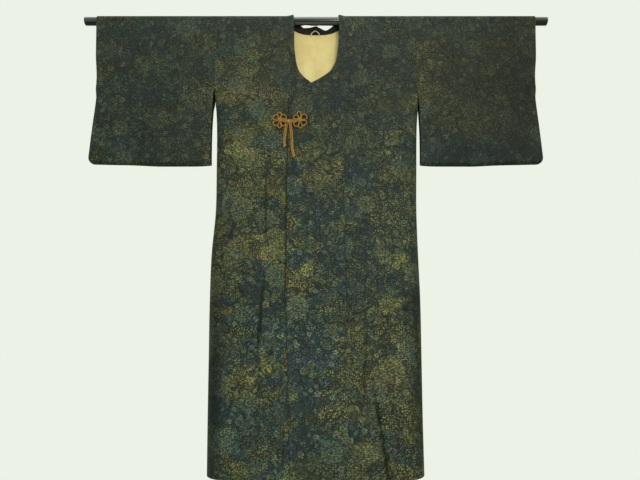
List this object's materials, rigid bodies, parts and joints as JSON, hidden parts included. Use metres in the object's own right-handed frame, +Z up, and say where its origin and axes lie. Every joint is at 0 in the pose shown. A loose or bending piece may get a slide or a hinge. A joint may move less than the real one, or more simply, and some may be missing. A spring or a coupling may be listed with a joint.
{
  "type": "michiyuki coat on a rod",
  "caption": "Long lined silk overcoat of a kimono set, spread flat over a straight round rod, fastened at the chest with flower knots of cord.",
  "frame": {"origin": "on the rod's axis at the coat's centre, where the rod is held", "axes": "+Z up, +X towards the coat's left sleeve along the rod, the coat's front faces -Y"},
  "size_m": [1.4, 0.1039, 1.305],
  "materials": {
    "patterned_silk": "woven silk crepe with a dense dark all-over pattern",
    "lining_silk": "smooth plain-woven cream silk lining",
    "silk_cord": "braided golden silk cord",
    "loop_cord": "twisted cream cord",
    "black_lacquer": "black lacquer, polished"
  },
  "bodies": {
    "root": {"left_body": "patterned_silk", "right_body": "patterned_silk", "left_overlap": "patterned_silk", "right_overlap": "patterned_silk", "neck_binding": "patterned_silk", "left_sleeve": "patterned_silk", "right_sleeve": "patterned_silk", "left_lining": "lining_silk", "right_lining": "lining_silk", "hang_loop": "loop_cord", "left_flower_knot": "silk_cord", "right_flower_knot": "silk_cord", "clasp_knot": "silk_cord", "left_tail_a": "silk_cord", "left_tail_b": "silk_cord", "right_tail_a": "silk_cord", "right_tail_b": "silk_cord", "rod": "black_lacquer"}
  },
  "joints": []
}
